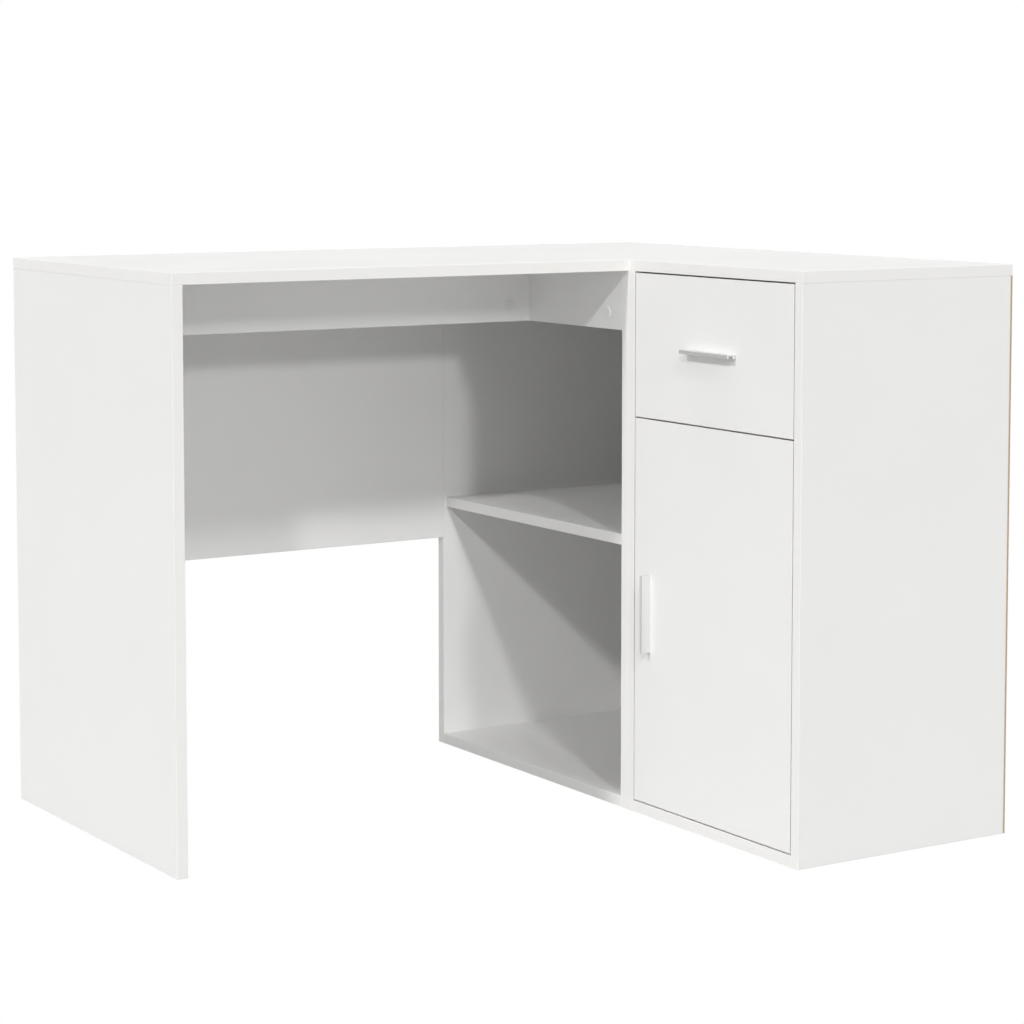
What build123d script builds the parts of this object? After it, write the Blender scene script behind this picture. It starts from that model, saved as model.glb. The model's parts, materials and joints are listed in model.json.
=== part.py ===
from build123d import *
from collections import defaultdict
import os

# Corner desk of melamine-faced board: a desk with a modesty panel, an open shelf unit that
# carries its right end, and a drawer cabinet that continues the shelf unit forwards.
#
# It is laid out in bench coordinates, in millimetres: x runs right from the outer face of the
# left leg panel, y runs back from the desk's front edge, z runs up from the floor. The last
# lines move every node so that the origin is at the middle of the footprint, on the floor.

# ---------------------------------------------------------------- driving dimensions
TOP_LENGTH = 1020.0
DESK_DEPTH = 500.0
CABINET_WIDTH = 375.0
WING_DEPTH = 345.0
HEIGHT = 750.0
BOARD = 15.0
HARDBOARD = 3.0
EDGE_RADIUS = 0.6

RAIL_HEIGHT = 81.0
DESK_RAIL_FRONT = 245.0
MODESTY_HEIGHT = 421.0
FIXED_SHELF_UNDERSIDE = 360.0
FIXED_SHELF_SETBACK = 6.0

FRONT_GAP = 2.0
DRAWER_FRONT_HEIGHT = 193.0
DIVIDER_SETBACK = 17.0
LOOSE_SHELF_UNDERSIDE = 265.0
LOOSE_SHELF_SETBACK = 25.0

DRAWER_BOARD = 12.0
DRAWER_BOX_LENGTH = 300.0
DRAWER_BOX_HEIGHT = 140.0
DRAWER_BOTTOM_RISE = 15.0
DRAWER_GROOVE = 5.0

RUNNER_BASE = 541.0
RUNNER_LENGTH = 300.0
RUNNER_WIDTH = 12.5
RUNNER_STEEL = 1.2

HANDLE_LENGTH = 105.0
HANDLE_REACH = 14.0
HANDLE_LIP = 5.4
HANDLE_SCREW_SPACING = 96.0
DRAWER_HANDLE_Z = 635.5
DOOR_HANDLE_Z = 276.5
DOOR_HANDLE_INSET = 34.0

HINGE_HEIGHTS = (109.0, 446.0)

# ---------------------------------------------------------------- derived levels and planes
WING_FRONT = TOP_LENGTH - WING_DEPTH
UNDERSIDE = HEIGHT - BOARD
BACK_FACE = TOP_LENGTH - HARDBOARD
CABINET_FRONT_Y = -CABINET_WIDTH
INNER_WALL_Y = -BOARD
OUTER_WALL_Y = CABINET_FRONT_Y + BOARD
DOOR_FREE_EDGE = INNER_WALL_Y - FRONT_GAP
DOOR_HINGE_EDGE = OUTER_WALL_Y + FRONT_GAP
FRONT_REAR_X = WING_FRONT + BOARD
DRAWER_FRONT_TOP = UNDERSIDE - FRONT_GAP
DRAWER_FRONT_BOTTOM = DRAWER_FRONT_TOP - DRAWER_FRONT_HEIGHT
DOOR_TOP = DRAWER_FRONT_BOTTOM - FRONT_GAP
DOOR_BOTTOM = BOARD + FRONT_GAP
DIVIDER_UNDERSIDE = DOOR_TOP - BOARD

RIGHT = Vector(1, 0, 0)
BACK = Vector(0, 1, 0)
UP = Vector(0, 0, 1)
LEFT = -RIGHT
FRONT = -BACK
DOWN = -UP

ON_BASE = (Align.CENTER, Align.CENTER, Align.MIN)

boards = {}
cuts = defaultdict(list)
hardware = defaultdict(list)


# ---------------------------------------------------------------- basic shapes
def slab(x, y, z):
    """A block between three (low, high) spans, in either order."""
    spans = [sorted(span) for span in (x, y, z)]
    size = [high - low for low, high in spans]
    middle = [(low + high) / 2 for low, high in spans]
    return Pos(*middle) * Box(*size)


def rounded_board(x, y, z):
    """A faced board, with its edges eased as edge banding leaves them."""
    block = slab(x, y, z)
    return fillet(block.edges(), EDGE_RADIUS)


def rod(start, direction, radius, length):
    """A round bar from start along direction."""
    return Plane(origin=start, z_dir=direction) * Cylinder(radius, length, align=ON_BASE)


def cross_recess(start, direction, width, slot, depth):
    """The cross-shaped drive cut in a screw's head, from its outer face inwards."""
    arm = Box(width, slot, depth, align=ON_BASE)
    return Plane(origin=start, z_dir=direction) * (arm + Rot(0, 0, 90) * arm)


# ---------------------------------------------------------------- fittings that join two boards
FIT = 0.1
CAM_SETBACK = 36.0
CAM_RADIUS = 7.5
CAM_DEPTH = 12.5
BOLT_ENTRY = 11.0
DOWEL_RADIUS = 4.0
NAIL_RADIUS = 0.7

# Where the fittings lie along each joint.
LEG_CAM_YS = (60.0, 440.0)
LEG_DOWEL_YS = (150.0, 350.0)
SHELF_CAM_XS = (740.0, 950.0)
SHELF_DOWEL_XS = (800.0, 890.0)
CABINET_CAM_XS = (760.0, 950.0)
CABINET_DOWEL_XS = (815.0, 890.0)
MODESTY_CAM_ZS = (345.0, 640.0)
MODESTY_DOWEL_ZS = (430.0, 560.0)
RAIL_CAM_RISE = 23.0
RAIL_DOWEL_RISE = 58.0
BACK_NAIL_ZS = (60.0, 200.0, 330.0, 460.0, 590.0, 700.0)
SHELF_NAIL_YS = (120.0, 250.0, 380.0)
CABINET_NAIL_YS = (-250.0, -125.0)
CONNECTOR_XS = (780.0, 940.0)
CONNECTOR_ZS = (110.0, 650.0)


def cam_joint(unit, end_board, face_board, point, inward, cam_face, capped=False):
    """A bolt screwed into face_board, drawn up by a cam lock let into end_board.

    point lies where the bolt crosses the joint, inward runs into end_board, and cam_face is
    the outward normal of the face that the cam is let into.
    """
    point = Vector(*point)
    centre = point + inward * CAM_SETBACK
    mouth = centre + cam_face * (BOARD / 2)
    cuts[end_board] += [
        rod(mouth, -cam_face, CAM_RADIUS, CAM_DEPTH),
        rod(point, inward, 4.1, CAM_SETBACK),
    ]
    cuts[face_board].append(rod(point, -inward, 3.0, BOLT_ENTRY + 0.5))

    top = mouth - cam_face * 0.2
    cam = rod(top, -cam_face, CAM_RADIUS - FIT, CAM_DEPTH - 0.4)
    cam -= rod(centre + inward * 3, -inward, 4.0, 12)
    cam -= cross_recess(top, -cam_face, 8.0, 1.6, 1.8)
    hardware[unit + "_cam_locks"].append(cam)

    bolt = rod(point, -inward, 3.0 - FIT, BOLT_ENTRY)
    bolt += rod(point, inward, 3.6, 2.5)
    bolt += rod(point, inward, 1.9, CAM_SETBACK)
    bolt += rod(centre - inward * 1.0, inward, 3.2, 2.8)
    hardware[unit + "_cam_bolts"].append(bolt)

    if capped:
        cap = rod(mouth, cam_face, 8.2, 0.9)
        cap = fillet(cap.faces().sort_by(Axis(mouth, cam_face))[-1].edges(), 0.5)
        hardware[unit + "_cam_caps"].append(cap)


def dowel(unit, end_board, face_board, point, inward):
    """A beech dowel across a joint: 20 mm in end_board and 10 mm in face_board."""
    point = Vector(*point)
    cuts[end_board].append(rod(point, inward, DOWEL_RADIUS, 20.5))
    cuts[face_board].append(rod(point, -inward, DOWEL_RADIUS, 10.5))
    pin = rod(point - inward * 10, inward, DOWEL_RADIUS - FIT, 30)
    pin = chamfer(pin.edges().filter_by(GeomType.CIRCLE), 0.8)
    hardware[unit + "_dowels"].append(pin)


def headed_screw(board, point, inward, radius, length, head_radius, head_height):
    """A cross-head screw whose head rests on the face at point; returns the screw."""
    point = Vector(*point)
    cuts[board].append(rod(point, inward, radius + FIT, length + 0.5))
    screw = rod(point, inward, radius, length)
    head = rod(point, -inward, head_radius, head_height)
    head = fillet(head.faces().sort_by(Axis(point, -inward))[-1].edges(), head_height * 0.4)
    screw += head
    screw -= cross_recess(point - inward * head_height, inward, head_radius, 0.8, head_height * 0.6)
    return screw


def nail_back(back_panel, board, points):
    """Nails through a hardboard back into a board's rear edge, heads flush."""
    head_radius = 1.6
    head_height = 0.6
    length = 18.0
    for point in points:
        head_start = Vector(TOP_LENGTH, *point)
        cuts[back_panel].append(rod(head_start, LEFT, head_radius + FIT, head_height))
        cuts[back_panel].append(rod(head_start, LEFT, NAIL_RADIUS + FIT, HARDBOARD + 1))
        cuts[board].append(rod((BACK_FACE, *point), LEFT, NAIL_RADIUS + FIT, length - HARDBOARD + 0.5))
        nail = rod(head_start, LEFT, head_radius, head_height)
        nail += rod(head_start, LEFT, NAIL_RADIUS, length)
        hardware["back_panel_nails"].append(nail)


# ---------------------------------------------------------------- desk and open shelf unit
boards["desk_top"] = rounded_board((0, TOP_LENGTH), (0, DESK_DEPTH), (UNDERSIDE, HEIGHT))
boards["left_leg_panel"] = rounded_board((0, BOARD), (0, DESK_DEPTH), (0, UNDERSIDE))
boards["modesty_panel"] = rounded_board(
    (BOARD, WING_FRONT),
    (DESK_DEPTH - BOARD, DESK_DEPTH),
    (UNDERSIDE - MODESTY_HEIGHT, UNDERSIDE),
)
boards["desk_rail"] = rounded_board(
    (BOARD, WING_FRONT),
    (DESK_RAIL_FRONT, DESK_RAIL_FRONT + BOARD),
    (UNDERSIDE - RAIL_HEIGHT, UNDERSIDE),
)
boards["shelf_rail"] = rounded_board(
    (WING_FRONT, FRONT_REAR_X),
    (BOARD, DESK_DEPTH - BOARD),
    (UNDERSIDE - RAIL_HEIGHT, UNDERSIDE),
)
boards["shelf_rear_end_panel"] = rounded_board(
    (WING_FRONT, BACK_FACE), (DESK_DEPTH - BOARD, DESK_DEPTH), (0, UNDERSIDE)
)
boards["shelf_near_end_panel"] = rounded_board((WING_FRONT, BACK_FACE), (0, BOARD), (0, UNDERSIDE))
boards["shelf_bottom_board"] = rounded_board(
    (WING_FRONT, BACK_FACE), (BOARD, DESK_DEPTH - BOARD), (0, BOARD)
)
boards["fixed_shelf"] = rounded_board(
    (WING_FRONT + FIXED_SHELF_SETBACK, BACK_FACE),
    (BOARD, DESK_DEPTH - BOARD),
    (FIXED_SHELF_UNDERSIDE, FIXED_SHELF_UNDERSIDE + BOARD),
)
boards["shelf_back_panel"] = slab((BACK_FACE, TOP_LENGTH), (0, DESK_DEPTH), (0, UNDERSIDE))

# Each end panel's inner face and the direction into the unit.
END_PANELS = {
    "shelf_near_end_panel": (BOARD, BACK),
    "shelf_rear_end_panel": (DESK_DEPTH - BOARD, FRONT),
}

# The top sits on the left leg panel and on both end panels of the shelf unit.
for y in LEG_CAM_YS:
    cam_joint("desk", "left_leg_panel", "desk_top", (BOARD / 2, y, UNDERSIDE), DOWN, RIGHT)
for y in LEG_DOWEL_YS:
    dowel("desk", "left_leg_panel", "desk_top", (BOARD / 2, y, UNDERSIDE), DOWN)
for panel, (inner_face, inside) in END_PANELS.items():
    panel_mid = inner_face - inside.Y * BOARD / 2
    for x in SHELF_CAM_XS:
        cam_joint("desk", panel, "desk_top", (x, panel_mid, UNDERSIDE), DOWN, inside)
    for x in SHELF_DOWEL_XS:
        dowel("desk", panel, "desk_top", (x, panel_mid, UNDERSIDE), DOWN)

# The rails hang under the top: cams show on the faces towards the user and wear caps.
rail_cam_z = UNDERSIDE - RAIL_HEIGHT + RAIL_CAM_RISE
rail_dowel_z = UNDERSIDE - RAIL_HEIGHT + RAIL_DOWEL_RISE
desk_rail_mid = DESK_RAIL_FRONT + BOARD / 2
rail_mid_x = WING_FRONT + BOARD / 2
for x, inward, face_board in ((BOARD, RIGHT, "left_leg_panel"), (WING_FRONT, LEFT, "shelf_rail")):
    cam_point = (x, desk_rail_mid, rail_cam_z)
    cam_joint("desk", "desk_rail", face_board, cam_point, inward, FRONT, capped=True)
    dowel("desk", "desk_rail", face_board, (x, desk_rail_mid, rail_dowel_z), inward)
for panel, (inner_face, inside) in END_PANELS.items():
    cam_point = (rail_mid_x, inner_face, rail_cam_z)
    cam_joint("desk", "shelf_rail", panel, cam_point, inside, LEFT, capped=True)
    dowel("desk", "shelf_rail", panel, (rail_mid_x, inner_face, rail_dowel_z), inside)

# The modesty panel closes the back of the knee space, with its cams on the far side.
modesty_mid = DESK_DEPTH - BOARD / 2
modesty_ends = ((BOARD, RIGHT, "left_leg_panel"), (WING_FRONT, LEFT, "shelf_rear_end_panel"))
for x, inward, face_board in modesty_ends:
    for z in MODESTY_CAM_ZS:
        cam_joint("desk", "modesty_panel", face_board, (x, modesty_mid, z), inward, BACK)
    for z in MODESTY_DOWEL_ZS:
        dowel("desk", "modesty_panel", face_board, (x, modesty_mid, z), inward)

# The bottom board and the fixed shelf run between the end panels, with cams underneath.
for level_board, underside in (("shelf_bottom_board", 0), ("fixed_shelf", FIXED_SHELF_UNDERSIDE)):
    board_mid = underside + BOARD / 2
    for panel, (inner_face, inside) in END_PANELS.items():
        for x in SHELF_CAM_XS:
            cam_joint("desk", level_board, panel, (x, inner_face, board_mid), inside, DOWN)
        for x in SHELF_DOWEL_XS:
            dowel("desk", level_board, panel, (x, inner_face, board_mid), inside)
    nail_back("shelf_back_panel", level_board, [(y, board_mid) for y in SHELF_NAIL_YS])
for panel, (inner_face, inside) in END_PANELS.items():
    panel_mid = inner_face - inside.Y * BOARD / 2
    nail_back("shelf_back_panel", panel, [(panel_mid, z) for z in BACK_NAIL_ZS])

# ---------------------------------------------------------------- cabinet carcass
boards["cabinet_top"] = rounded_board(
    (WING_FRONT, TOP_LENGTH), (CABINET_FRONT_Y, 0), (UNDERSIDE, HEIGHT)
)
boards["cabinet_inner_side"] = rounded_board(
    (WING_FRONT, BACK_FACE), (INNER_WALL_Y, 0), (0, UNDERSIDE)
)
boards["cabinet_outer_side"] = rounded_board(
    (WING_FRONT, BACK_FACE), (CABINET_FRONT_Y, OUTER_WALL_Y), (0, UNDERSIDE)
)
boards["cabinet_bottom_board"] = rounded_board(
    (WING_FRONT, BACK_FACE), (OUTER_WALL_Y, INNER_WALL_Y), (0, BOARD)
)
boards["drawer_divider"] = rounded_board(
    (WING_FRONT + DIVIDER_SETBACK, BACK_FACE),
    (OUTER_WALL_Y, INNER_WALL_Y),
    (DIVIDER_UNDERSIDE, DOOR_TOP),
)
boards["loose_shelf"] = rounded_board(
    (WING_FRONT + LOOSE_SHELF_SETBACK, BACK_FACE - 3),
    (OUTER_WALL_Y + 1.5, INNER_WALL_Y - 1.5),
    (LOOSE_SHELF_UNDERSIDE, LOOSE_SHELF_UNDERSIDE + BOARD),
)
boards["cabinet_back_panel"] = slab((BACK_FACE, TOP_LENGTH), (CABINET_FRONT_Y, 0), (0, UNDERSIDE))

# Each side's inner face and the direction into the cabinet.
CABINET_SIDES = {
    "cabinet_inner_side": (INNER_WALL_Y, FRONT),
    "cabinet_outer_side": (OUTER_WALL_Y, BACK),
}
LEVEL_BOARD_MIDS = {
    "cabinet_bottom_board": BOARD / 2,
    "drawer_divider": DIVIDER_UNDERSIDE + BOARD / 2,
}

for side, (inner_face, inside) in CABINET_SIDES.items():
    side_mid = inner_face - inside.Y * BOARD / 2
    for x in SHELF_CAM_XS:
        cam_joint("cabinet", side, "cabinet_top", (x, side_mid, UNDERSIDE), DOWN, inside)
    for x in SHELF_DOWEL_XS:
        dowel("cabinet", side, "cabinet_top", (x, side_mid, UNDERSIDE), DOWN)
    for level_board, board_mid in LEVEL_BOARD_MIDS.items():
        for x in CABINET_CAM_XS:
            cam_joint("cabinet", level_board, side, (x, inner_face, board_mid), inside, DOWN)
        for x in CABINET_DOWEL_XS:
            dowel("cabinet", level_board, side, (x, inner_face, board_mid), inside)
    nail_back("cabinet_back_panel", side, [(side_mid, z) for z in BACK_NAIL_ZS])
for level_board, board_mid in LEVEL_BOARD_MIDS.items():
    nail_back("cabinet_back_panel", level_board, [(y, board_mid) for y in CABINET_NAIL_YS])

# Two rows of pin holes in each side; the loose shelf stands on four steel pins.
PIN_RADIUS = 2.5
PIN_XS = (725.0, 960.0)
HOLE_PITCH = 32.0
pin_axis_z = LOOSE_SHELF_UNDERSIDE - PIN_RADIUS
for side, (inner_face, inside) in CABINET_SIDES.items():
    for x in PIN_XS:
        for step in range(-2, 3):
            hole_start = (x, inner_face, pin_axis_z + step * HOLE_PITCH)
            cuts[side].append(rod(hole_start, -inside, PIN_RADIUS, 10))
        root = Vector(x, inner_face, pin_axis_z)
        pin = rod(root - inside * 9, inside, PIN_RADIUS - 0.05, 16)
        pin += rod(root, inside, 4.0, 1.0)
        hardware["shelf_pins"].append(pin)

# Sleeve nuts and bolts clamp the cabinet to the shelf unit's end panel.
for x in CONNECTOR_XS:
    for z in CONNECTOR_ZS:
        sleeve_face = Vector(x, BOARD, z)
        bolt_face = Vector(x, INNER_WALL_Y, z)
        cuts["shelf_near_end_panel"].append(rod(sleeve_face, FRONT, 4.0, BOARD))
        cuts["cabinet_inner_side"].append(rod(bolt_face, BACK, 4.0, BOARD))
        sleeve = rod(sleeve_face, BACK, 6.5, 1.5) + rod(sleeve_face, FRONT, 3.9, 24)
        sleeve -= rod(sleeve_face + BACK * 1.5, FRONT, 2.6, 26)
        hardware["connector_sleeves"].append(sleeve)
        bolt = rod(bolt_face, FRONT, 6.5, 1.5)
        bolt += rod(bolt_face, BACK, 3.9, 5)
        bolt += rod(bolt_face, BACK, 2.5, 26)
        bolt -= cross_recess(bolt_face + FRONT * 1.5, BACK, 6.0, 1.2, 1.4)
        hardware["connector_bolts"].append(bolt)


# ---------------------------------------------------------------- pull handles
def pull_handle():
    """A lip pull lying along x, flat side up, its mounting face at y = 0 and its lip at -y.

    Returns the pull with its two blind screw holes.
    """
    root_depth = 5.0
    root_height = 6.0
    web = 2.2
    lip_depth = 2.6
    outline = Polyline(
        (0, 0),
        (-HANDLE_REACH, 0),
        (-HANDLE_REACH, -HANDLE_LIP),
        (-HANDLE_REACH + lip_depth, -HANDLE_LIP),
        (-HANDLE_REACH + lip_depth, -web),
        (-root_depth, -web),
        (-root_depth, -root_height),
        (0, -root_height),
        (0, 0),
    )
    section = Plane.YZ * make_face(outline)
    pull = extrude(section, amount=HANDLE_LENGTH / 2, both=True)
    outer_edges = pull.edges().filter_by(Axis.X).group_by(Axis.Y)[0]
    pull = fillet(outer_edges, 1.0)
    for x in (-HANDLE_SCREW_SPACING / 2, HANDLE_SCREW_SPACING / 2):
        pull -= rod((x, 0, -root_height / 2), FRONT, 2.0 + FIT, 4.5)
    return pull


def handle_screws(board, first, second, inward):
    """Two screws from behind a front, through it and 4 mm into the pull's root."""
    screws = []
    for point in (first, second):
        screw = headed_screw(board, point, inward, 2.0, BOARD + 4, 4.2, 2.2)
        screws.append(screw)
    return screws


# ---------------------------------------------------------------- drawer
drawer_span = (DOOR_HINGE_EDGE, DOOR_FREE_EDGE)
boards["drawer_front"] = rounded_board(
    (WING_FRONT, FRONT_REAR_X), drawer_span, (DRAWER_FRONT_BOTTOM, DRAWER_FRONT_TOP)
)

BOX_BOTTOM = RUNNER_BASE + 4 + RUNNER_STEEL
BOX_TOP = BOX_BOTTOM + DRAWER_BOX_HEIGHT
BOX_REAR_X = FRONT_REAR_X + DRAWER_BOX_LENGTH
BOX_LEFT_Y = INNER_WALL_Y - RUNNER_WIDTH
BOX_RIGHT_Y = OUTER_WALL_Y + RUNNER_WIDTH
BOTTOM_Z = BOX_BOTTOM + DRAWER_BOTTOM_RISE
box_x = (FRONT_REAR_X, BOX_REAR_X)
box_z = (BOX_BOTTOM, BOX_TOP)
inner_left = BOX_LEFT_Y - DRAWER_BOARD
inner_right = BOX_RIGHT_Y + DRAWER_BOARD
boards["drawer_left_side"] = rounded_board(box_x, (BOX_LEFT_Y, inner_left), box_z)
boards["drawer_right_side"] = rounded_board(box_x, (BOX_RIGHT_Y, inner_right), box_z)
boards["drawer_back"] = rounded_board(
    (BOX_REAR_X - DRAWER_BOARD, BOX_REAR_X),
    (inner_left, inner_right),
    (BOTTOM_Z + HARDBOARD + FIT, BOX_TOP),
)
boards["drawer_bottom"] = slab(
    (FRONT_REAR_X - DRAWER_GROOVE, BOX_REAR_X - 1),
    (inner_left + DRAWER_GROOVE, inner_right - DRAWER_GROOVE),
    (BOTTOM_Z, BOTTOM_Z + HARDBOARD),
)
groove = slab(
    (FRONT_REAR_X - DRAWER_GROOVE - 0.5, BOX_REAR_X + 1),
    (inner_left + DRAWER_GROOVE + 0.3, inner_right - DRAWER_GROOVE - 0.3),
    (BOTTOM_Z - 0.1, BOTTOM_Z + HARDBOARD + 0.1),
)
for node in ("drawer_front", "drawer_left_side", "drawer_right_side"):
    cuts[node].append(groove)

DRAWER_CAM_SETBACK = 24.0
SIDE_FITTING_ZS = (BOX_BOTTOM + 45, BOX_BOTTOM + 105)
DRAWER_SIDES = {
    "drawer_left_side": (inner_left, FRONT),
    "drawer_right_side": (inner_right, BACK),
}
for side, (inner_face, inside) in DRAWER_SIDES.items():
    side_mid = inner_face - inside.Y * DRAWER_BOARD / 2
    for z in SIDE_FITTING_ZS:
        joint = Vector(FRONT_REAR_X, side_mid, z)
        centre = joint + RIGHT * DRAWER_CAM_SETBACK
        mouth = centre + inside * (DRAWER_BOARD / 2)
        cuts[side].append(rod(mouth, -inside, 6.0, 9.5))
        cuts[side].append(rod(joint, RIGHT, 3.1, DRAWER_CAM_SETBACK))
        cuts["drawer_front"].append(rod(joint, LEFT, 2.5, 10))
        cam = rod(mouth - inside * 0.2, -inside, 5.9, 9.2)
        cam -= rod(centre + RIGHT * 2.6, LEFT, 3.0, 10)
        cam -= cross_recess(mouth - inside * 0.2, -inside, 6.5, 1.4, 1.5)
        hardware["drawer_cam_locks"].append(cam)
        bolt = rod(joint, LEFT, 2.4, 9.5) + rod(joint, RIGHT, 1.6, DRAWER_CAM_SETBACK)
        bolt += rod(joint, RIGHT, 2.9, 2) + rod(centre, RIGHT, 2.6, 2)
        hardware["drawer_cam_bolts"].append(bolt)
    dowel_point = Vector(FRONT_REAR_X, side_mid, BOX_BOTTOM + 75)
    cuts[side].append(rod(dowel_point, RIGHT, 3.0, 20.5))
    cuts["drawer_front"].append(rod(dowel_point, LEFT, 3.0, 10.5))
    peg = rod(dowel_point + LEFT * 10, RIGHT, 2.9, 30)
    hardware["drawer_dowels"].append(chamfer(peg.edges().filter_by(GeomType.CIRCLE), 0.6))

    outer_face = inner_face - inside.Y * DRAWER_BOARD
    for z in SIDE_FITTING_ZS:
        start = Vector(BOX_REAR_X - DRAWER_BOARD / 2, outer_face, z)
        along_screw = Plane(origin=start, z_dir=inside)
        screw = rod(start, inside, 2.0, 38)
        screw += along_screw * Cone(3.9, 2.0, 2.4, align=ON_BASE)
        screw -= cross_recess(start, inside, 4.5, 1.0, 1.6)
        hardware["drawer_corner_screws"].append(screw)
        cuts[side].append(rod(start, inside, 2.0 + FIT, 40))
        cuts[side].append(along_screw * Cone(4.1, 2.1, 2.6, align=ON_BASE))
        cuts["drawer_back"].append(rod(start, inside, 2.0 + FIT, 40))

drawer_mid_y = (DOOR_FREE_EDGE + DOOR_HINGE_EDGE) / 2
drawer_handle_place = Plane(
    origin=(WING_FRONT, drawer_mid_y, DRAWER_HANDLE_Z + HANDLE_LIP / 2), x_dir=FRONT, z_dir=UP
)
drawer_handle = drawer_handle_place * pull_handle()
drawer_screw_z = DRAWER_HANDLE_Z + HANDLE_LIP / 2 - 3.0
hardware["drawer_handle_screws"] = handle_screws(
    "drawer_front",
    (FRONT_REAR_X, drawer_mid_y - HANDLE_SCREW_SPACING / 2, drawer_screw_z),
    (FRONT_REAR_X, drawer_mid_y + HANDLE_SCREW_SPACING / 2, drawer_screw_z),
    LEFT,
)

# ---------------------------------------------------------------- roller runners
CHANNEL_HEIGHT = 24.0
FLANGE_WIDTH = 10.4
FRONT_ROLLER_RADIUS = 11.1
REAR_ROLLER_RADIUS = 10.4
FRONT_ROLLER = (706.0, RUNNER_BASE + 13.3)
REAR_ROLLER = (976.0, RUNNER_BASE + RUNNER_STEEL + REAR_ROLLER_RADIUS + 0.05)
MEMBER_FLANGE_Z = RUNNER_BASE + 24.5
AXLE_RADIUS = 2.5
RUNNER_START = WING_FRONT + DIVIDER_SETBACK
CHANNEL_SCREW_XS = (745.0, 860.0, 960.0)
MEMBER_SCREW_XS = (745.0, 860.0, 940.0)

RUNNER_SIDES = {
    "left": (INNER_WALL_Y, FRONT, "cabinet_inner_side", "drawer_left_side"),
    "right": (OUTER_WALL_Y, BACK, "cabinet_outer_side", "drawer_right_side"),
}


def across(wall, inside, near, far):
    """The y span between two distances from a cabinet wall, measured inwards."""
    return (wall + inside.Y * near, wall + inside.Y * far)


for hand, (wall, inside, cabinet_side, drawer_side) in RUNNER_SIDES.items():
    channel_end = RUNNER_START + RUNNER_LENGTH
    web_z = (RUNNER_BASE, RUNNER_BASE + CHANNEL_HEIGHT)
    channel = slab((RUNNER_START, channel_end), across(wall, inside, 0, RUNNER_STEEL), web_z)
    channel += slab(
        (RUNNER_START, channel_end),
        across(wall, inside, 0, FLANGE_WIDTH),
        (RUNNER_BASE, RUNNER_BASE + RUNNER_STEEL),
    )
    channel += slab(
        (RUNNER_START + 30, channel_end),
        across(wall, inside, 0, FLANGE_WIDTH),
        (web_z[1] - RUNNER_STEEL, web_z[1]),
    )
    channel += slab(
        (channel_end - RUNNER_STEEL, channel_end), across(wall, inside, 0, FLANGE_WIDTH), web_z
    )
    for x in CHANNEL_SCREW_XS:
        start = Vector(x, wall, RUNNER_BASE + 12)
        channel -= rod(start, inside, 2.2, RUNNER_STEEL)
        cuts[cabinet_side].append(rod(start, -inside, 1.9, 12.5))
        screw = rod(start - inside * 12, inside, 1.8, 12 + RUNNER_STEEL)
        screw += rod(start + inside * RUNNER_STEEL, inside, 3.2, 0.8)
        screw -= cross_recess(start + inside * (RUNNER_STEEL + 0.8), -inside, 3.6, 0.7, 0.6)
        hardware["runner_cabinet_screws"].append(screw)
    boards["runner_cabinet_" + hand] = channel

    member_x = (RUNNER_START, RUNNER_START + RUNNER_LENGTH - 6)
    member = slab(
        member_x,
        across(wall, inside, RUNNER_WIDTH - RUNNER_STEEL, RUNNER_WIDTH),
        (RUNNER_BASE + 4, MEMBER_FLANGE_Z + RUNNER_STEEL),
    )
    member += slab(
        member_x,
        across(wall, inside, 2, RUNNER_WIDTH),
        (MEMBER_FLANGE_Z, MEMBER_FLANGE_Z + RUNNER_STEEL),
    )
    member += slab(
        member_x,
        across(wall, inside, RUNNER_WIDTH - RUNNER_STEEL, RUNNER_WIDTH + 11),
        (RUNNER_BASE + 4, BOX_BOTTOM),
    )
    for x in MEMBER_SCREW_XS:
        start = Vector(x, wall, RUNNER_BASE + 15) + inside * RUNNER_WIDTH
        member -= rod(start, -inside, 1.9, RUNNER_STEEL)
        cuts[drawer_side].append(rod(start, inside, 1.7, 9.5))
        screw = rod(start - inside * RUNNER_STEEL, inside, 1.6, 9 + RUNNER_STEEL)
        screw += rod(start - inside * RUNNER_STEEL, -inside, 3.0, 0.8)
        screw -= cross_recess(start - inside * (RUNNER_STEEL + 0.8), inside, 3.4, 0.7, 0.6)
        hardware["runner_drawer_screws"].append(screw)
    boards["runner_drawer_" + hand] = member

    front_axle = Vector(FRONT_ROLLER[0], wall, FRONT_ROLLER[1])
    roller = rod(front_axle + inside * 3, inside, FRONT_ROLLER_RADIUS, 6)
    roller = fillet(roller.edges().filter_by(GeomType.CIRCLE), 0.6)
    roller -= rod(front_axle + inside * 3, inside, AXLE_RADIUS + 0.05, 6)
    hardware["front_rollers"].append(roller)
    rivet = rod(front_axle + inside * RUNNER_STEEL, inside, AXLE_RADIUS, 8.8)
    rivet += rod(front_axle + inside * RUNNER_STEEL, inside, 3.6, 1.6)
    rivet += rod(front_axle + inside * 9.2, inside, 3.6, 0.8)
    hardware["front_roller_rivets"].append(rivet)

    rear_axle = Vector(REAR_ROLLER[0], wall, REAR_ROLLER[1])
    roller = rod(rear_axle + inside * 3, inside, REAR_ROLLER_RADIUS, 6)
    roller = fillet(roller.edges().filter_by(GeomType.CIRCLE), 0.6)
    roller -= rod(rear_axle + inside * 3, inside, AXLE_RADIUS + 0.05, 6)
    hardware["rear_rollers"].append(roller)
    rivet = rod(rear_axle + inside * 2, inside, AXLE_RADIUS, RUNNER_WIDTH - RUNNER_STEEL - 2)
    rivet += rod(rear_axle + inside * 2, inside, 3.6, 0.8)
    rivet += rod(rear_axle + inside * 9.2, inside, 3.6, RUNNER_WIDTH - RUNNER_STEEL - 9.2)
    hardware["rear_roller_rivets"].append(rivet)

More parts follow.
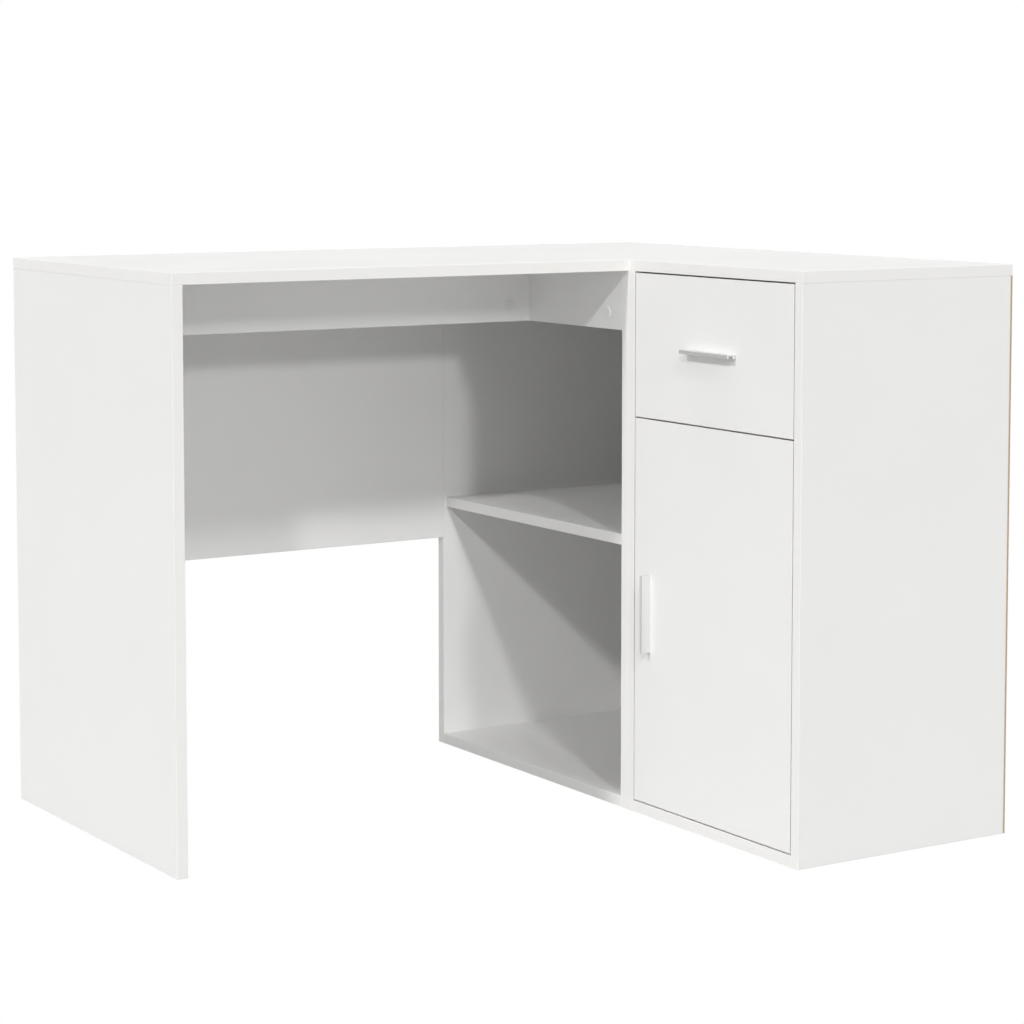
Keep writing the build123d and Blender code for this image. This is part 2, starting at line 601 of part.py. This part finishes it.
# ---------------------------------------------------------------- door
boards["door_panel"] = rounded_board((WING_FRONT, FRONT_REAR_X), drawer_span, (DOOR_BOTTOM, DOOR_TOP))

door_handle_y = DOOR_FREE_EDGE - DOOR_HANDLE_INSET
door_handle_place = Plane(
    origin=(WING_FRONT, door_handle_y - HANDLE_LIP / 2, DOOR_HANDLE_Z), x_dir=DOWN, z_dir=FRONT
)
door_handle = door_handle_place * pull_handle()
door_screw_y = door_handle_y - HANDLE_LIP / 2 + 3.0
hardware["door_handle_screws"] = handle_screws(
    "door_panel",
    (FRONT_REAR_X, door_screw_y, DOOR_HANDLE_Z - HANDLE_SCREW_SPACING / 2),
    (FRONT_REAR_X, door_screw_y, DOOR_HANDLE_Z + HANDLE_SCREW_SPACING / 2),
    LEFT,
)

# Two rubber bumpers on the divider's front edge stop the door.
BUMPER_YS = (-310.0, -60.0)
for y in BUMPER_YS:
    bumper = rod((WING_FRONT + DIVIDER_SETBACK, y, DIVIDER_UNDERSIDE + 7.5), LEFT, 4.0, 1.6)
    bumper = fillet(bumper.faces().sort_by(Axis.X)[0].edges(), 0.7)
    hardware["door_bumpers"].append(bumper)

# ---------------------------------------------------------------- concealed hinges
# The door turns about its outer front corner. Distances in the hinge are measured from that
# corner: depth runs back into the cabinet, reach runs along the door towards its free edge.
CUP_CENTRE_REACH = 21.5
CUP_RADIUS = 17.5
CUP_BORE = 16.5
CUP_DEPTH = 11.0
FLANGE = 1.0
ARM_PIVOT = (21.0, 7.0)
LINK_REST_ANGLE = 117.4
LINK_HALF_WIDTH = 3.2
LINK_STEEL = 1.4
LINK_CLEARANCE = 0.4
PIVOT_RADIUS = 1.5
PLATE_DEPTH = 52.0


def hinge_point(depth, reach, z):
    """A point in the hinge, from its depth, its reach and its height above the floor."""
    return Vector(WING_FRONT + depth, DOOR_HINGE_EDGE + reach, z)


def link_shape(z):
    """The curved steel link from the arm's pivot, over the cup's rim and into the cup.

    It is drawn lying along its own line, from the pivot to its tip, and then turned.
    """
    bends = [(0, 0), (9, -10.6), (14, -12.0), (21.2, -12.0), (28.2, -11.35), (29.3, 0)]
    path = FilletPolyline(*bends, radius=1.2)
    section = offset(path, amount=LINK_STEEL / 2, side=Side.BOTH, kind=Kind.INTERSECTION)
    face = make_face(section)
    blade = extrude(face, amount=LINK_HALF_WIDTH, both=True)
    eye = Cylinder(3.0, 2 * LINK_HALF_WIDTH)
    blade = blade + eye - Cylinder(PIVOT_RADIUS + 0.05, 2 * LINK_HALF_WIDTH)
    return Location(hinge_point(*ARM_PIVOT, z), (0, 0, LINK_REST_ANGLE)) * blade


for z in HINGE_HEIGHTS:
    cup_mouth = hinge_point(BOARD, CUP_CENTRE_REACH, z)
    flange_plate = rod(cup_mouth, RIGHT, 19.0, FLANGE)
    flange_plate += slab(
        (FRONT_REAR_X, FRONT_REAR_X + FLANGE),
        (cup_mouth.Y - 9, cup_mouth.Y + 9),
        (z - 31, z + 31),
    )
    cup = flange_plate + rod(cup_mouth, LEFT, CUP_RADIUS, CUP_DEPTH)
    cup -= rod(cup_mouth + RIGHT * FLANGE, LEFT, CUP_BORE, CUP_DEPTH - 0.8 + FLANGE)
    cuts["door_panel"].append(rod(cup_mouth, LEFT, CUP_RADIUS + FIT, CUP_DEPTH + FIT))
    for offset_z in (-24, 24):
        head_seat = hinge_point(BOARD + FLANGE, CUP_CENTRE_REACH, z + offset_z)
        cup -= rod(head_seat, LEFT, 2.0, FLANGE)
        hardware["hinge_cup_screws"].append(
            headed_screw("door_panel", head_seat, LEFT, 1.7, 12, 3.6, 1.6)
        )
    hardware["hinge_cups"].append(cup)

    # The mounting plate is screwed to the outer side, and the arm stands on it.
    wall_reach = -FRONT_GAP
    plate_top = wall_reach + 2.5
    plate = slab(
        (WING_FRONT + PLATE_DEPTH - 15, WING_FRONT + PLATE_DEPTH + 22),
        (DOOR_HINGE_EDGE + wall_reach, DOOR_HINGE_EDGE + plate_top),
        (z - 9, z + 9),
    )
    plate += slab(
        (WING_FRONT + PLATE_DEPTH - 7, WING_FRONT + PLATE_DEPTH + 7),
        (DOOR_HINGE_EDGE + wall_reach, DOOR_HINGE_EDGE + plate_top),
        (z - 24, z + 24),
    )
    for offset_z in (-16, 16):
        head_seat = hinge_point(PLATE_DEPTH, plate_top, z + offset_z)
        plate -= rod(head_seat, FRONT, 2.2, 2.5)
        hardware["hinge_plate_screws"].append(
            headed_screw("cabinet_outer_side", head_seat, FRONT, 2.0, 13, 4.0, 2.0)
        )
    hardware["hinge_mounting_plates"].append(plate)

    arm_top = ARM_PIVOT[1] + 3.5
    cheek_wall = 1.4
    cheek_inner = LINK_HALF_WIDTH + LINK_CLEARANCE
    cheek_outer = cheek_inner + cheek_wall
    arm = slab(
        (WING_FRONT + ARM_PIVOT[0], WING_FRONT + PLATE_DEPTH + 20),
        (DOOR_HINGE_EDGE + plate_top, DOOR_HINGE_EDGE + arm_top),
        (z - cheek_outer, z + cheek_outer),
    )
    arm += rod(hinge_point(*ARM_PIVOT, z - cheek_outer), UP, 3.5, 2 * cheek_outer)
    arm -= slab(
        (WING_FRONT, WING_FRONT + PLATE_DEPTH - 18),
        (DOOR_HINGE_EDGE + wall_reach, DOOR_HINGE_EDGE + arm_top + 1),
        (z - cheek_inner, z + cheek_inner),
    )
    arm -= slab(
        (WING_FRONT + PLATE_DEPTH - 18, WING_FRONT + PLATE_DEPTH + 21),
        (DOOR_HINGE_EDGE + wall_reach, DOOR_HINGE_EDGE + arm_top - 1.6),
        (z - cheek_inner, z + cheek_inner),
    )
    arm -= rod(hinge_point(*ARM_PIVOT, z - cheek_outer), UP, PIVOT_RADIUS, 2 * cheek_outer)
    hardware["hinge_arms"].append(arm)
    pin = rod(hinge_point(*ARM_PIVOT, z - cheek_outer - 0.6), UP, PIVOT_RADIUS, 2 * cheek_outer + 1.2)
    for end_z, toward in ((z - cheek_outer, DOWN), (z + cheek_outer, UP)):
        pin += rod(hinge_point(*ARM_PIVOT, end_z), toward, 2.2, 0.6)
    hardware["hinge_pivot_pins"].append(pin)
    hardware["hinge_links"].append(link_shape(z))

# ---------------------------------------------------------------- export
nodes = dict(boards)
for name, tools in cuts.items():
    for tool in tools:
        nodes[name] -= tool
nodes["drawer_handle"] = drawer_handle
nodes["door_handle"] = door_handle
for name, pieces in hardware.items():
    nodes[name] = Compound(children=[solid for piece in pieces for solid in piece.solids()])

os.makedirs("parts", exist_ok=True)
to_row_frame = Pos(-TOP_LENGTH / 2, -(DESK_DEPTH - CABINET_WIDTH) / 2, 0)
for name, shape in nodes.items():
    export_step(to_row_frame * shape, f"parts/{name}.step")
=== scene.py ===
import json
import math

import bmesh
import bpy
from mathutils import Matrix, Vector


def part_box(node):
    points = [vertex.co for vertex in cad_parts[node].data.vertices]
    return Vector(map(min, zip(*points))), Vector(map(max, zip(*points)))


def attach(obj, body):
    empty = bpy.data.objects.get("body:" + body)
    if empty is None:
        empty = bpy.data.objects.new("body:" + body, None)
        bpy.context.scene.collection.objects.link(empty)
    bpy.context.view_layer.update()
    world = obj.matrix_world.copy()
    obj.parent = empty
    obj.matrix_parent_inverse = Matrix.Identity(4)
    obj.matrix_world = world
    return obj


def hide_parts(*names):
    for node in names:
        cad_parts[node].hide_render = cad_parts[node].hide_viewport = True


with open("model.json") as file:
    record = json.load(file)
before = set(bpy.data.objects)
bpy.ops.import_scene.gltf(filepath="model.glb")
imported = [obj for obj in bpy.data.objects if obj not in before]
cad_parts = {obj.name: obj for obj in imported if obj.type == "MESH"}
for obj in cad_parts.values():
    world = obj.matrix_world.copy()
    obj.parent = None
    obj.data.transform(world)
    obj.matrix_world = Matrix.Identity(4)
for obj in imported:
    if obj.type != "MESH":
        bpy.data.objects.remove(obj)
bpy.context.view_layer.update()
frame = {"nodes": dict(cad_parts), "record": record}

# Corner desk of white melamine-faced board. The boards, fittings, hinges and runners are the
# frame's own nodes with the materials below; the two pulls are modelled here in finer detail.
# Everything is in metres, in the row frame.

MM = 0.001


# ---------------------------------------------------------------- material building
class Recipe:
    """A node material under construction: makes nodes, links them and joins numbers."""

    def __init__(self, name):
        self.material = bpy.data.materials.new(name)
        self.material.use_nodes = True
        self.tree = self.material.node_tree
        self.shader = self.tree.nodes["Principled BSDF"]

    def node(self, kind, inputs=None, **settings):
        made = self.tree.nodes.new(kind)
        for key, value in settings.items():
            setattr(made, key, value)
        for key, value in (inputs or {}).items():
            self.feed(made.inputs[key], value)
        return made

    def feed(self, socket, value):
        if isinstance(value, bpy.types.NodeSocket):
            self.tree.links.new(value, socket)
        else:
            socket.default_value = value

    def math(self, operation, *values, clamp=False):
        made = self.node("ShaderNodeMath", operation=operation, use_clamp=clamp)
        for socket, value in zip(made.inputs, values):
            self.feed(socket, value)
        return made.outputs[0]

    def place(self, stretch=(1, 1, 1)):
        """A point of the piece in its own metres, stretched along the axes."""
        source = self.node("ShaderNodeTexCoord").outputs["Object"]
        mapping = self.node("ShaderNodeMapping", {"Vector": source, "Scale": stretch})
        return mapping.outputs["Vector"]

    def noise(self, scale, detail=2.0, roughness=0.5, stretch=(1, 1, 1)):
        inputs = {
            "Vector": self.place(stretch),
            "Scale": scale,
            "Detail": detail,
            "Roughness": roughness,
        }
        return self.node("ShaderNodeTexNoise", inputs).outputs["Fac"]

    def ramp(self, value, low, high, to_low=0.0, to_high=1.0):
        """value carried from low..high to to_low..to_high, and held outside."""
        inputs = {
            "Value": value,
            "From Min": low,
            "From Max": high,
            "To Min": to_low,
            "To Max": to_high,
        }
        return self.node("ShaderNodeMapRange", inputs).outputs["Result"]

    def mix(self, amount, first, second):
        """first where amount is 0, second where it is 1; both are colours."""
        made = self.node("ShaderNodeMix", data_type="RGBA")
        self.feed(made.inputs["Factor"], amount)
        self.feed(made.inputs["A"], first)
        self.feed(made.inputs["B"], second)
        return made.outputs["Result"]

    def bump(self, height, depth, normal=None):
        inputs = {"Height": height, "Distance": depth, "Strength": 1.0}
        if normal is not None:
            inputs["Normal"] = normal
        return self.node("ShaderNodeBump", inputs).outputs["Normal"]

    def finish(self, colour, roughness, normal=None, **constants):
        """Feeds the shader; constants are set on its own sockets by name."""
        self.feed(self.shader.inputs["Base Color"], colour)
        self.feed(self.shader.inputs["Roughness"], roughness)
        if normal is not None:
            self.feed(self.shader.inputs["Normal"], normal)
        for key, value in constants.items():
            self.shader.inputs[key.replace("_", " ")].default_value = value
        return self.material


def grey(value, warmth=0.0):
    """A linear colour near grey; warmth above 0 leans to yellow."""
    return (value, value * (1 - warmth * 0.25), value * (1 - warmth), 1.0)


# ---------------------------------------------------------------- the board materials
EDGE_BAND = 0.9 * MM
GLUE_LINE = 0.14 * MM
GLUE_LINE_SHOWS = 0.4
GLUE_GROOVE = 0.06 * MM
ORANGE_PEEL = 0.035 * MM
FACING_ROUGHNESS = 0.46
BAND_SMOOTHER_BY = 0.08
PAPER_THICKNESS = 0.25 * MM
FIBRE_RELIEF = 0.12 * MM


def distance_to_edge(recipe, low, high, thickness_axis):
    """Metres from a point on a board to its nearest banded edge."""
    position = recipe.node("ShaderNodeTexCoord").outputs["Object"]
    split = recipe.node("ShaderNodeSeparateXYZ", {"Vector": position})
    nearest = None
    for axis in range(3):
        if axis == thickness_axis:
            continue
        here = split.outputs[axis]
        gap = recipe.math(
            "MINIMUM",
            recipe.math("SUBTRACT", here, low[axis]),
            recipe.math("SUBTRACT", high[axis], here),
        )
        nearest = gap if nearest is None else recipe.math("MINIMUM", nearest, gap)
    return nearest


def melamine(node):
    """White melamine facing with a fine orange-peel, and its edge band with a glue line."""
    low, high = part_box(node)
    size = high - low
    thickness_axis = min(range(3), key=lambda axis: size[axis])
    recipe = Recipe("melamine_" + node)
    to_edge = distance_to_edge(recipe, low, high, thickness_axis)
    band = recipe.math("LESS_THAN", to_edge, EDGE_BAND)
    off_line = recipe.math("ABSOLUTE", recipe.math("SUBTRACT", to_edge, EDGE_BAND))
    line = recipe.ramp(off_line, 0.0, GLUE_LINE, 1.0, 0.0)

    pearl = recipe.noise(1400.0, detail=3.0, roughness=0.6)
    cloud = recipe.noise(7.0, detail=3.0)
    rub = recipe.noise(60.0, detail=4.0, roughness=0.65)
    facing = recipe.mix(cloud, grey(0.835, 0.02), grey(0.86, 0.012))
    banded = recipe.mix(band, facing, grey(0.855, 0.03))
    shown = recipe.math("MULTIPLY", line, GLUE_LINE_SHOWS)
    colour = recipe.mix(shown, banded, grey(0.5, 0.12))

    uneven = recipe.math("MULTIPLY", recipe.math("SUBTRACT", cloud, 0.5), 0.12)
    worn = recipe.math("MULTIPLY", recipe.math("SUBTRACT", rub, 0.5), 0.1)
    roughness = recipe.math("ADD", recipe.math("ADD", FACING_ROUGHNESS, uneven), worn)
    smoother = recipe.math("MULTIPLY", band, BAND_SMOOTHER_BY)
    roughness = recipe.math("SUBTRACT", roughness, smoother)
    groove = recipe.math("MULTIPLY", line, -1.0)
    normal = recipe.bump(pearl, ORANGE_PEEL)
    normal = recipe.bump(groove, GLUE_GROOVE, normal)
    return recipe.finish(colour, roughness, normal, Specular_IOR_Level=0.42)


def hardboard(node, paper_axis, paper_high):
    """Brown pressed fibre, with white paper on the face that looks into the desk."""
    low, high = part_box(node)
    recipe = Recipe("hardboard_" + node)
    fibre = recipe.noise(420.0, detail=6.0, roughness=0.7, stretch=(1, 0.35, 1))
    blotch = recipe.noise(24.0, detail=3.0)
    brown = recipe.mix(fibre, (0.36, 0.235, 0.14, 1), (0.60, 0.43, 0.285, 1))
    brown = recipe.mix(recipe.math("MULTIPLY", blotch, 0.5), brown, (0.50, 0.35, 0.22, 1))
    position = recipe.node("ShaderNodeTexCoord").outputs["Object"]
    here = recipe.node("ShaderNodeSeparateXYZ", {"Vector": position}).outputs[paper_axis]
    if paper_high:
        depth = recipe.math("SUBTRACT", high[paper_axis], here)
    else:
        depth = recipe.math("SUBTRACT", here, low[paper_axis])
    paper = recipe.math("LESS_THAN", depth, PAPER_THICKNESS)
    colour = recipe.mix(paper, brown, grey(0.82, 0.02))
    roughness = recipe.ramp(paper, 0.0, 1.0, 0.82, 0.5)
    normal = recipe.bump(fibre, FIBRE_RELIEF)
    return recipe.finish(colour, roughness, normal, Specular_IOR_Level=0.3)


# ---------------------------------------------------------------- the other materials
def brushed_aluminium(name, along):
    """Anodised satin aluminium, brushed along one axis; the oxide scatters some light."""
    stretch = [1.0, 1.0, 1.0]
    stretch[along] = 0.03
    recipe = Recipe(name)
    strokes = recipe.noise(5200.0, detail=3.0, roughness=0.6, stretch=stretch)
    cloud = recipe.noise(90.0, detail=2.0, stretch=stretch)
    colour = recipe.mix(strokes, grey(0.77, 0.01), grey(0.85, 0.015))
    roughness = recipe.math(
        "ADD", recipe.ramp(strokes, 0.3, 0.7, 0.28, 0.38), recipe.ramp(cloud, 0.3, 0.7, 0, 0.05)
    )
    return recipe.finish(colour, roughness, recipe.bump(strokes, 0.012 * MM), Metallic=0.7)


def plated_steel(name, tint, rough_low, rough_high, grain=900.0):
    """Plated steel with a faintly mottled sheen."""
    recipe = Recipe(name)
    mottle = recipe.noise(grain, detail=4.0, roughness=0.6)
    patch = recipe.noise(150.0, detail=2.0)
    colour = recipe.mix(mottle, [c * 0.9 for c in tint[:3]] + [1], list(tint[:3]) + [1])
    roughness = recipe.ramp(patch, 0.3, 0.7, rough_low, rough_high)
    return recipe.finish(colour, roughness, recipe.bump(mottle, 0.01 * MM), Metallic=1.0)


def die_cast_zinc():
    """Dull grey zinc with the fine skin of a casting."""
    recipe = Recipe("die_cast_zinc")
    skin = recipe.noise(1500.0, detail=5.0, roughness=0.7)
    pits = recipe.noise(420.0, detail=2.0)
    colour = recipe.mix(skin, grey(0.42, 0.01), grey(0.55, 0.015))
    roughness = recipe.ramp(pits, 0.3, 0.7, 0.42, 0.6)
    return recipe.finish(colour, roughness, recipe.bump(skin, 0.05 * MM), Metallic=1.0)


def runner_enamel():
    """White stoved enamel over rolled steel."""
    recipe = Recipe("runner_enamel")
    peel = recipe.noise(700.0, detail=2.0)
    cloud = recipe.noise(30.0, detail=2.0)
    colour = recipe.mix(cloud, grey(0.80, 0.03), grey(0.85, 0.02))
    roughness = recipe.ramp(cloud, 0.3, 0.7, 0.3, 0.4)
    return recipe.finish(colour, roughness, recipe.bump(peel, 0.05 * MM), Coat_Weight=0.15)


def moulded_plastic(name, tint, rough, grain):
    """Matt moulded plastic with the spark-eroded grain of its mould."""
    recipe = Recipe(name)
    texture = recipe.noise(grain, detail=3.0, roughness=0.6)
    cloud = recipe.noise(60.0, detail=2.0)
    colour = recipe.mix(cloud, [c * 0.97 for c in tint[:3]] + [1], list(tint[:3]) + [1])
    roughness = recipe.ramp(texture, 0.3, 0.7, rough, rough + 0.1)
    return recipe.finish(
        colour, roughness, recipe.bump(texture, 0.03 * MM), Subsurface_Weight=0.05
    )


def beech():
    """Pale beech with grain along Z and short dark rays."""
    recipe = Recipe("beech")
    rays = recipe.noise(2600.0, detail=3.0, stretch=(1, 1, 0.12))
    rings = recipe.noise(500.0, detail=2.0, stretch=(1, 1, 0.05))
    colour = recipe.mix(rings, (0.60, 0.41, 0.24, 1), (0.74, 0.55, 0.36, 1))
    colour = recipe.mix(recipe.ramp(rays, 0.55, 0.8, 0.0, 0.35), colour, (0.45, 0.28, 0.15, 1))
    return recipe.finish(colour, 0.62, recipe.bump(rays, 0.05 * MM))


def soft_rubber():
    """Milky soft rubber, slightly dusty."""
    recipe = Recipe("bumper_rubber")
    dust = recipe.noise(1800.0, detail=4.0)
    colour = recipe.mix(dust, grey(0.70, 0.04), grey(0.78, 0.03))
    roughness = recipe.ramp(dust, 0.3, 0.7, 0.42, 0.6)
    return recipe.finish(
        colour, roughness, recipe.bump(dust, 0.01 * MM), Subsurface_Weight=0.2
    )


ZINC_PLATE = grey(0.66, 0.03)
NICKEL = grey(0.72, 0.06)
shared_materials = {
    "zinc_alloy": die_cast_zinc(),
    "plated_steel": plated_steel("plated_steel", ZINC_PLATE, 0.22, 0.36),
    "nickel_hinge": plated_steel("nickel_hinge", NICKEL, 0.16, 0.26, 600.0),
    "runner_enamel": runner_enamel(),
    "roller_nylon": moulded_plastic("roller_nylon", grey(0.80, 0.05), 0.38, 1200.0),
    "cap_plastic": moulded_plastic("cap_plastic", grey(0.855, 0.015), 0.42, 1600.0),
    "beech": beech(),
    "bumper_rubber": soft_rubber(),
}
# The axis each hardboard panel's paper faces along, and whether it is on the high side.
HARDBOARD_PAPER = {
    "shelf_back_panel": (0, False),
    "cabinet_back_panel": (0, False),
    "drawer_bottom": (2, True),
}


def wear(obj, material):
    """Gives an object one material and nothing else."""
    obj.data.materials.clear()
    obj.data.materials.append(material)


for subpart in frame["record"]["subparts"]:
    node, slot_name = subpart["node"], subpart["material_slot"]
    if slot_name == "white_melamine":
        wear(frame["nodes"][node], melamine(node))
    elif slot_name == "hardboard":
        wear(frame["nodes"][node], hardboard(node, *HARDBOARD_PAPER[node]))
    elif slot_name == "handle_metal":
        wear(frame["nodes"][node], brushed_aluminium("frame_" + node, 1))
    else:
        wear(frame["nodes"][node], shared_materials[slot_name])


# ---------------------------------------------------------------- mesh building
def new_piece(name, mesh, material, body, stands_for=()):
    """Links a mesh as a piece that rides on a body and may stand for frame nodes."""
    piece = bpy.data.objects.new(name, mesh)
    bpy.context.scene.collection.objects.link(piece)
    wear(piece, material)
    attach(piece, body)
    if stands_for:
        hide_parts(*stands_for)
    return piece


def smooth_by_angle(mesh, degrees=35.0):
    """Smooth shading that breaks at edges sharper than an angle."""
    made = bmesh.new()
    made.from_mesh(mesh)
    limit = math.radians(degrees)
    for face in made.faces:
        face.smooth = True
    for edge in made.edges:
        edge.smooth = len(edge.link_faces) == 2 and edge.calc_face_angle(0.0) < limit
    made.to_mesh(mesh)
    made.free()


def rounded_outline(corners, steps=5):
    """A closed 2-D outline with each corner (x, y, radius) turned into an arc."""
    points = []
    count = len(corners)
    for index, (x, y, radius) in enumerate(corners):
        here = Vector((x, y))
        before = Vector(corners[index - 1][:2]) - here
        after = Vector(corners[(index + 1) % count][:2]) - here
        if radius <= 0:
            points.append(here)
            continue
        before.normalize()
        after.normalize()
        half = before.angle(after) / 2
        start = before * (radius / math.tan(half))
        centre = (before + after).normalized() * (radius / math.sin(half))
        first = start - centre
        sweep = math.pi - 2 * half
        turn = math.copysign(sweep, first.cross(after * (radius / math.tan(half)) - centre))
        for step in range(steps + 1):
            angle = turn * step / steps
            spoke = Matrix.Rotation(angle, 2) @ first
            points.append(here + centre + spoke)
    return points


def extruded_bar(name, outline, length, end_round, end_steps=4):
    """A mesh of a bar along X, drawn in mm, whose section draws in at its rounded ends."""
    stations = []
    for step in range(end_steps + 1):
        angle = math.pi / 2 * step / end_steps
        stations.append((end_round * (1 - math.sin(angle)), end_round * (1 - math.cos(angle))))
    rings = []
    for inset, back in stations:
        rings.append((-length / 2 + back, inset))
    for inset, back in reversed(stations):
        rings.append((length / 2 - back, inset))
    made = bmesh.new()
    loops = []
    for x, inset in rings:
        ring = []
        for point in inset_outline(outline, inset):
            ring.append(made.verts.new((x * MM, point[0] * MM, point[1] * MM)))
        loops.append(ring)
    count = len(outline)
    for first, second in zip(loops, loops[1:]):
        for index in range(count):
            following = (index + 1) % count
            made.faces.new((first[index], first[following], second[following], second[index]))
    made.faces.new(list(reversed(loops[0])))
    made.faces.new(loops[-1])
    bmesh.ops.recalc_face_normals(made, faces=made.faces)
    mesh = bpy.data.meshes.new(name)
    made.to_mesh(mesh)
    made.free()
    return mesh


def inset_outline(outline, amount):
    """The closed outline moved inwards by an amount, point by point along its bisectors."""
    if amount == 0:
        return outline
    area = 0.0
    count = len(outline)
    for index, point in enumerate(outline):
        area += point.cross(outline[(index + 1) % count])
    side = 1.0 if area > 0 else -1.0
    moved = []
    for index, point in enumerate(outline):
        before = (point - outline[index - 1]).normalized()
        after = (outline[(index + 1) % count] - point).normalized()
        across = Vector((-(before + after).y, (before + after).x)).normalized() * side
        moved.append(point + across * amount)
    return moved


# ---------------------------------------------------------------- the two pulls
# The section's sizes, in mm.
PULL_DROP = 5.4
PULL_LIP = 2.6
PULL_WEB = 2.2
PULL_ROOT = 5.0
PULL_ROOT_HEIGHT = 6.0
PULL_END_ROUND = 0.5


def pull_outline(reach, lip):
    """The pull's section in mm: x is the distance from the front, y is up; a lip hangs
    from the outer edge of a flat web, and a thicker root is screwed to the front."""
    return rounded_outline(
        [
            (0, 0, 0.3),
            (-reach, 0, 1.0),
            (-reach, -lip, 0.9),
            (-reach + PULL_LIP, -lip, 0.9),
            (-reach + PULL_LIP, -PULL_WEB, 0.8),
            (-PULL_ROOT, -PULL_WEB, 1.2),
            (-PULL_ROOT, -PULL_ROOT_HEIGHT, 0.7),
            (0, -PULL_ROOT_HEIGHT, 0.3),
        ]
    )


def pull(name, node, body, upright):
    """The pull that stands for a handle node, filling its box."""
    low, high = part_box(node)
    size = (high - low) / MM
    length = size.z if upright else size.y
    mesh = extruded_bar(name, pull_outline(size.x, PULL_DROP), length, PULL_END_ROUND)
    centre = (low + high) / 2
    if upright:
        # Flat side towards the hinges (-Y), lip turned towards the door's free edge (+Y).
        turn = Matrix(((0, 1, 0), (0, 0, -1), (1, 0, 0))).to_4x4()
        place = Matrix.Translation((high.x, low.y, centre.z))
    else:
        turn = Matrix(((0, 1, 0), (1, 0, 0), (0, 0, 1))).to_4x4()
        place = Matrix.Translation((high.x, centre.y, high.z))
    mesh.transform(place @ turn)
    if turn.determinant() < 0:
        mesh.flip_normals()
    smooth_by_angle(mesh, 30.0)
    material = brushed_aluminium(name + "_aluminium", 2 if upright else 1)
    return new_piece(name, mesh, material, body, (node,))


pull("drawer_pull", "drawer_handle", "drawer", upright=False)
pull("door_pull", "door_handle", "door", upright=True)

# ---------------------------------------------------------------- camera
CAMERA_PLACE = (-1.954, -3.1115, 0.916)
CAMERA_YAW = 32.38
CAMERA_PITCH = 4.61
CAMERA_LENS = 97.12
CAMERA_SHIFT = -0.15
CAMERA_SENSOR = 36.0

camera = bpy.data.objects.new("camera", bpy.data.cameras.new("camera"))
bpy.context.scene.collection.objects.link(camera)
camera.location = CAMERA_PLACE
camera.rotation_euler = (math.radians(90 - CAMERA_PITCH), 0, -math.radians(CAMERA_YAW))
camera.data.lens = CAMERA_LENS
camera.data.sensor_width = CAMERA_SENSOR
camera.data.shift_y = CAMERA_SHIFT
camera.data.clip_end = 100.0
camera.data.dof.use_dof = False
bpy.context.scene.camera = camera


# ---------------------------------------------------------------- studio
def sun(name, towards, strength, width):
    """A distant light that shines in the direction towards, width degrees across."""
    data = bpy.data.lights.new(name, "SUN")
    data.energy = strength
    data.angle = math.radians(width)
    light = bpy.data.objects.new(name, data)
    light.rotation_euler = Vector(towards).to_track_quat("-Z", "Y").to_euler()
    bpy.context.scene.collection.objects.link(light)
    return light


# Broad key lights from the front and the left, whose shadow edges fall across the rails, the
# modesty panel and below the drawer's pull, and a soft overhead light.
sun("front_key", (0.35, 1.0, -0.8), 0.63, 4.0)
sun("front_left_key", (0.85, 1.0, -0.76), 0.67, 3.0)
sun("low_front", (0.1, 1.0, -0.285), 0.52, 5.0)
sun("left_key", (1.0, 0.06, -0.75), 1.08, 4.0)
sun("left_low", (1.0, 0.1, -0.25), 0.20, 10.0)
sun("overhead", (0.0, 0.0, -1.0), 1.30, 30.0)

SKY_STRENGTH = 0.325
FLOOR_GLOW = 0.26
FLOOR_HALF = 30.0
FLOOR_HEIGHT = -0.5 * MM
BACKDROP_RADIUS = 45.0
BACKDROP_GLOW = 1.0

world = bpy.data.worlds.new("studio")
bpy.context.scene.world = world
world.use_nodes = True
sky = world.node_tree.nodes["Background"]
sky.inputs["Color"].default_value = (1.0, 1.0, 1.0, 1.0)
sky.inputs["Strength"].default_value = SKY_STRENGTH


def staged(name, mesh, colour, roughness, glow):
    """Links a mesh as a softly glowing part of the studio, which is not part of the desk."""
    surface = bpy.data.objects.new(name, mesh)
    bpy.context.scene.collection.objects.link(surface)
    recipe = Recipe(name)
    recipe.finish(colour, roughness, Specular_IOR_Level=0.0)
    recipe.shader.inputs["Emission Color"].default_value = (1.0, 1.0, 1.0, 1.0)
    recipe.shader.inputs["Emission Strength"].default_value = glow
    wear(surface, recipe.material)
    return surface


# The floor lights the object from below, and the camera sees the white backdrop instead.
floor_mesh = bpy.data.meshes.new("studio_floor")
corner_signs = ((-1, -1), (1, -1), (1, 1), (-1, 1))
floor_corners = [(a * FLOOR_HALF, b * FLOOR_HALF, FLOOR_HEIGHT) for a, b in corner_signs]
floor_mesh.from_pydata(floor_corners, [], [(0, 1, 2, 3)])
floor = staged("studio_floor", floor_mesh, grey(0.3), 0.9, FLOOR_GLOW)
floor.visible_camera = False

backdrop_mesh = bpy.data.meshes.new("studio_backdrop")
backdrop_shape = bmesh.new()
bmesh.ops.create_icosphere(backdrop_shape, subdivisions=3, radius=BACKDROP_RADIUS)
bmesh.ops.reverse_faces(backdrop_shape, faces=backdrop_shape.faces)
backdrop_shape.to_mesh(backdrop_mesh)
backdrop_shape.free()
backdrop = staged("studio_backdrop", backdrop_mesh, grey(0.0), 1.0, BACKDROP_GLOW)
backdrop.visible_diffuse = False
backdrop.visible_glossy = False
backdrop.visible_transmission = False
backdrop.visible_shadow = False

bpy.context.scene.view_settings.view_transform = "Standard"
bpy.context.scene.view_settings.look = "None"
